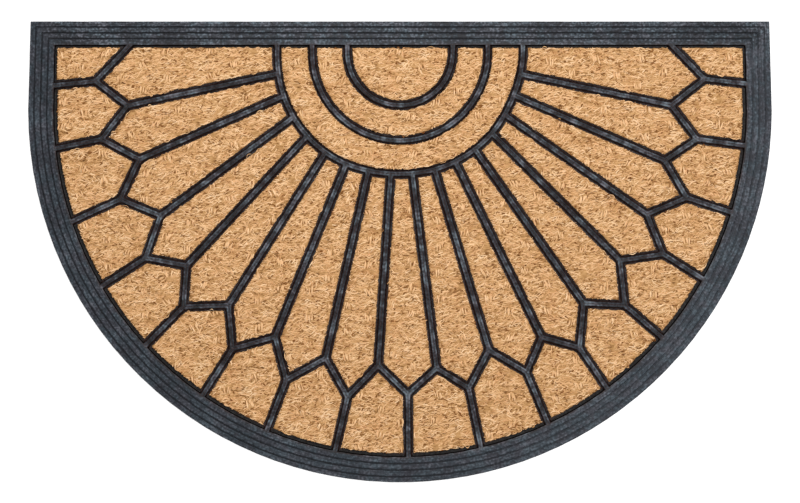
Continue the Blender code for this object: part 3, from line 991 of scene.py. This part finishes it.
# Painted shade: nearly black strips lie in the slits between and beside each tuft's sheaves.
def tuft_fibres(panel):
    """The same rows for the fibres of each tuft that lies on the panel."""
    low = panel.outline.min(0) - SEARCH_MARGIN
    high = panel.outline.max(0) + SEARCH_MARGIN
    x, y = np.meshgrid(np.arange(low[0], high[0], 1.0), np.arange(low[1], high[1], 1.0))
    x, y = x.ravel(), y.ravel()
    u, v, over = weave_place(x, y, panel.phase)
    heart = over & (np.abs(u) <= 0.5) & (np.abs(v) <= 0.5)
    x, y = x[heart], y[heart]
    keep = distance_outside(x, y, panel.outline) < 1.5
    hearts = []
    for cx, cy in zip(x[keep], y[keep]):
        if all(math.hypot(cx - hx, cy - hy) >= LEAST_TUFT_SPACING for hx, hy in hearts):
            hearts.append((cx, cy))
    fibres = []
    for cx, cy in hearts:
        if rng.random() < WORN_AWAY_SHARE:
            continue
        tuft_lean = rng.normal(0, 0.26)
        for offset in TUFT_SHEAVES:
            sheaf_lean = tuft_lean + rng.normal(0, 0.12)
            sheaf_x, sheaf_y = cx + offset + rng.normal(0, 0.4), cy + rng.normal(0, 0.7)
            for _ in range(SHEAF_FIBRES):
                fibres.append((
                    sheaf_x + rng.normal(0, 0.55), sheaf_y + rng.normal(0, 0.7),
                    math.pi / 2 + sheaf_lean + rng.normal(0, 0.08), rng.uniform(5.5, 9.5),
                    rng.uniform(0.8, 1.3), rng.normal(0, 0.35),
                    rng.uniform(0.10, 0.60), rng.uniform(0.7, 1.1),
                    rng.normal(0, 0.4), rng.uniform(-0.5, 0.3),
                    rng.normal(0.72, 0.11), rng.normal(0.45, 0.2),
                ))
        for offset in TUFT_SLITS:
            fibres.append((
                cx + offset + rng.normal(0, 0.4), cy + rng.normal(0, 1.2),
                math.pi / 2 + tuft_lean + rng.normal(0, 0.12), rng.uniform(3.0, 6.0),
                rng.uniform(0.6, 1.0), rng.normal(0, 0.35), rng.uniform(0.4, 0.7), 0.8,
                rng.normal(0, 0.3), -0.3,
                rng.normal(0.08, 0.10), rng.normal(0.5, 0.2),
            ))
    return np.array(fibres).reshape(-1, 12)


print("fibres in a tuft:", len(TUFT_SHEAVES) * SHEAF_FIBRES + len(TUFT_SLITS))

# %% Lay the fibres on every panel
fibre_count = 0
fibre_pieces = {}
for name, panel in panels.items():
    fibres = np.concatenate((weft_fibres(panel), tuft_fibres(panel)))
    inside = distance_outside(fibres[:, 0], fibres[:, 1], panel.outline) < 0.2
    fibres = fibres[inside]
    corners, length = strips(fibres[:, :10], panel.phase, panel.outline)
    mesh = strip_mesh(f"fibres_{name}", corners, length, fibres[:, 4], fibres[:, 10], fibres[:, 11])
    piece = bpy.data.objects.new(f"fibres_{name}", mesh)
    bpy.context.scene.collection.objects.link(piece)
    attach(piece, "root")
    fibre_pieces[name] = piece
    fibre_count += len(fibres)
print("fibres:", fibre_count, "triangles:", fibre_count * FACES_ON_STRIP * 2)

# %% [markdown]
# ## The coir's finish
# A fibre's colour runs from dark brown to pale straw by its shade number, which holds its own tone and
# the painted shade of where it lies, a little more orange or more yellow by its hue, with fine streaks
# along it. Coir is rough, so it has hardly any gloss. The panel underneath is seen only through the
# gaps, and is painted darker, as the shade deep between the fibres.

# %% The fibres' finish
fibre_finish, tree, shader = new_finish("coir_fibres")
shade = add(tree, "Attribute", attribute_name="shade").outputs["Fac"]
hue = add(tree, "Attribute", attribute_name="hue").outputs["Fac"]
strand = add(tree, "Attribute", attribute_name="strand").outputs["Vector"]
drawn = add(tree, "Mapping", {"Vector": strand, "Scale": (0.22, 3.2, 1.0)}).outputs[0]
streaks = add(tree, "TexNoise", {"Vector": drawn, "Scale": 1.0, "Detail": 3.0, "Roughness": 0.6}).outputs[0]
streaked = add(tree, "MapRange", {0: streaks, 1: 0.3, 2: 0.7, 3: -0.14, 4: 0.14}).outputs[0]
total_shade = math_of(tree, "ADD", shade, streaked)
yellowish = ramp(tree, total_shade, (
    (0.02, (0.190, 0.070, 0.012)),
    (0.35, (0.540, 0.305, 0.122)),
    (0.55, (0.690, 0.415, 0.195)),
    (0.80, (0.830, 0.540, 0.290)),
    (1.00, (0.900, 0.630, 0.380)),
))
reddish = ramp(tree, total_shade, (
    (0.02, (0.190, 0.056, 0.010)),
    (0.35, (0.540, 0.268, 0.104)),
    (0.55, (0.700, 0.374, 0.168)),
    (0.80, (0.840, 0.495, 0.255)),
    (1.00, (0.900, 0.590, 0.345)),
))
colour = add(tree, "Mix", {0: hue, 6: yellowish, 7: reddish}, data_type="RGBA").outputs[2]
tree.links.new(colour, shader.inputs["Base Color"])
furrows = add(tree, "Bump", {"Height": streaks, "Strength": 0.5, "Distance": 0.0003}).outputs[0]
tree.links.new(furrows, shader.inputs["Normal"])
shader.inputs["Roughness"].default_value = 0.85
shader.inputs["Specular IOR Level"].default_value = 0.15
for piece in fibre_pieces.values():
    piece.data.materials.append(fibre_finish)
print("fibre nodes:", len(tree.nodes))

# %% The panels' finish
panel_finish, tree, shader = new_finish("coir_matting")
place = add(tree, "TexCoord").outputs["Object"]
stretched = add(tree, "Mapping", {"Vector": place, "Scale": (170.0, 620.0, 400.0)}).outputs[0]
threads = add(tree, "TexNoise", {"Vector": stretched, "Scale": 1.0, "Detail": 4.0, "Roughness": 0.65,
                                 "Distortion": 0.6}).outputs[0]
blotches = add(tree, "TexNoise", {"Vector": place, "Scale": 160.0, "Detail": 2.0}).outputs[0]
most_threads = math_of(tree, "MULTIPLY", threads, 0.7)
some_blotches = math_of(tree, "MULTIPLY", blotches, 0.3)
mixed = math_of(tree, "ADD", most_threads, some_blotches)
# Painted shade: the matting under the fibres is painted dark, for the shade in the gaps between them.
colour = ramp(tree, mixed, (
    (0.38, (0.130, 0.052, 0.015)),
    (0.46, (0.400, 0.205, 0.075)),
    (0.62, (0.600, 0.345, 0.148)),
))
tree.links.new(colour, shader.inputs["Base Color"])
rough_weave = add(tree, "Bump", {"Height": threads, "Strength": 0.9, "Distance": 0.0008}).outputs[0]
tree.links.new(rough_weave, shader.inputs["Normal"])
shader.inputs["Roughness"].default_value = 0.92
shader.inputs["Specular IOR Level"].default_value = 0.15
for panel in panels.values():
    panel.piece.data.materials.append(panel_finish)
print("panel nodes:", len(tree.nodes))

# %% [markdown]
# ## The cloth's flat sizes
# A panel is a thick cut of cloth laid in its hollow. Its flat size is that of the smallest rectangle of
# matting it can be cut from, whichever way the panel is turned, and its flat area is that of its
# outline.

# %% Work out each panel's flat size
def smallest_rectangle(points):
    """Width and length of the smallest rectangle that holds the points, tried at every degree."""
    sizes = []
    for degree in range(90):
        turn = math.radians(degree)
        turned = points @ np.array([[math.cos(turn), -math.sin(turn)], [math.sin(turn), math.cos(turn)]])
        sizes.append(np.ptp(turned, axis=0))
    return sorted(min(sizes, key=np.prod))


flat_sizes = {}
for name, panel in panels.items():
    width, length = (float(side) * MM for side in smallest_rectangle(panel.outline))
    flat_sizes[name] = (round(width / MM), round(length / MM))
print("sheets declared:", len(panels))
print("flat sizes in mm:", flat_sizes)

# %% [markdown]
# ## Floor and light
# The photograph has a plain white ground and soft light. It comes a little more from the right, and a
# lamp beyond the straight edge wakes a sheen on the rim's bands there. A pale floor, an even sky, one
# large lamp and one small one give the same.

# %% Lay the floor
FLOOR_REACH = 6
FLOOR_DROP = 0.0004
floor_mesh = bpy.data.meshes.new("floor")
floor_corners = [(x * FLOOR_REACH, y * FLOOR_REACH, 0) for x, y in ((-1, -1), (1, -1), (1, 1), (-1, 1))]
floor_mesh.from_pydata(floor_corners, [], [(0, 1, 2, 3)])
floor = bpy.data.objects.new("floor", floor_mesh)
floor.location = (0, 0, -FLOOR_DROP)
bpy.context.scene.collection.objects.link(floor)
floor_finish, tree, shader = new_finish("pale_floor")
place = add(tree, "TexCoord").outputs["Object"]
soft = add(tree, "TexNoise", {"Vector": place, "Scale": 3.0, "Detail": 2.0}).outputs[0]
colour = ramp(tree, soft, ((0.3, (0.93, 0.93, 0.93)), (0.7, (0.95, 0.95, 0.95))))
tree.links.new(colour, shader.inputs["Base Color"])
shader.inputs["Roughness"].default_value = 0.9
shader.inputs["Emission Color"].default_value = (1.0, 1.0, 1.0, 1.0)
shader.inputs["Emission Strength"].default_value = 0.4
floor_mesh.materials.append(floor_finish)
print("floor is", FLOOR_REACH * 2, "m square")

# %% Light the scene
sky = bpy.data.worlds.new("studio_sky")
sky.use_nodes = True
sky.node_tree.nodes["Background"].inputs["Color"].default_value = (1.0, 1.0, 1.0, 1.0)
sky.node_tree.nodes["Background"].inputs["Strength"].default_value = 0.437
bpy.context.scene.world = sky


def soft_lamp(name, place, size, power):
    """A square lamp that faces the middle of the mat."""
    data = bpy.data.lights.new(name, "AREA")
    data.shape = "SQUARE"
    data.size = size
    data.energy = power
    lamp = bpy.data.objects.new(name, data)
    lamp.location = place
    lamp.rotation_mode = "QUATERNION"
    lamp.rotation_quaternion = (-Vector(place)).to_track_quat("-Z", "Y")
    bpy.context.scene.collection.objects.link(lamp)
    return lamp


soft_lamp("window_right", (0.6, 0.1, 3.2), 1.8, 60.5)
soft_lamp("softbox_top", (-0.03, 0.63, 1.0), 0.3, 4.4)
bpy.context.scene.view_settings.view_transform = "Standard"
bpy.context.scene.view_settings.look = "None"
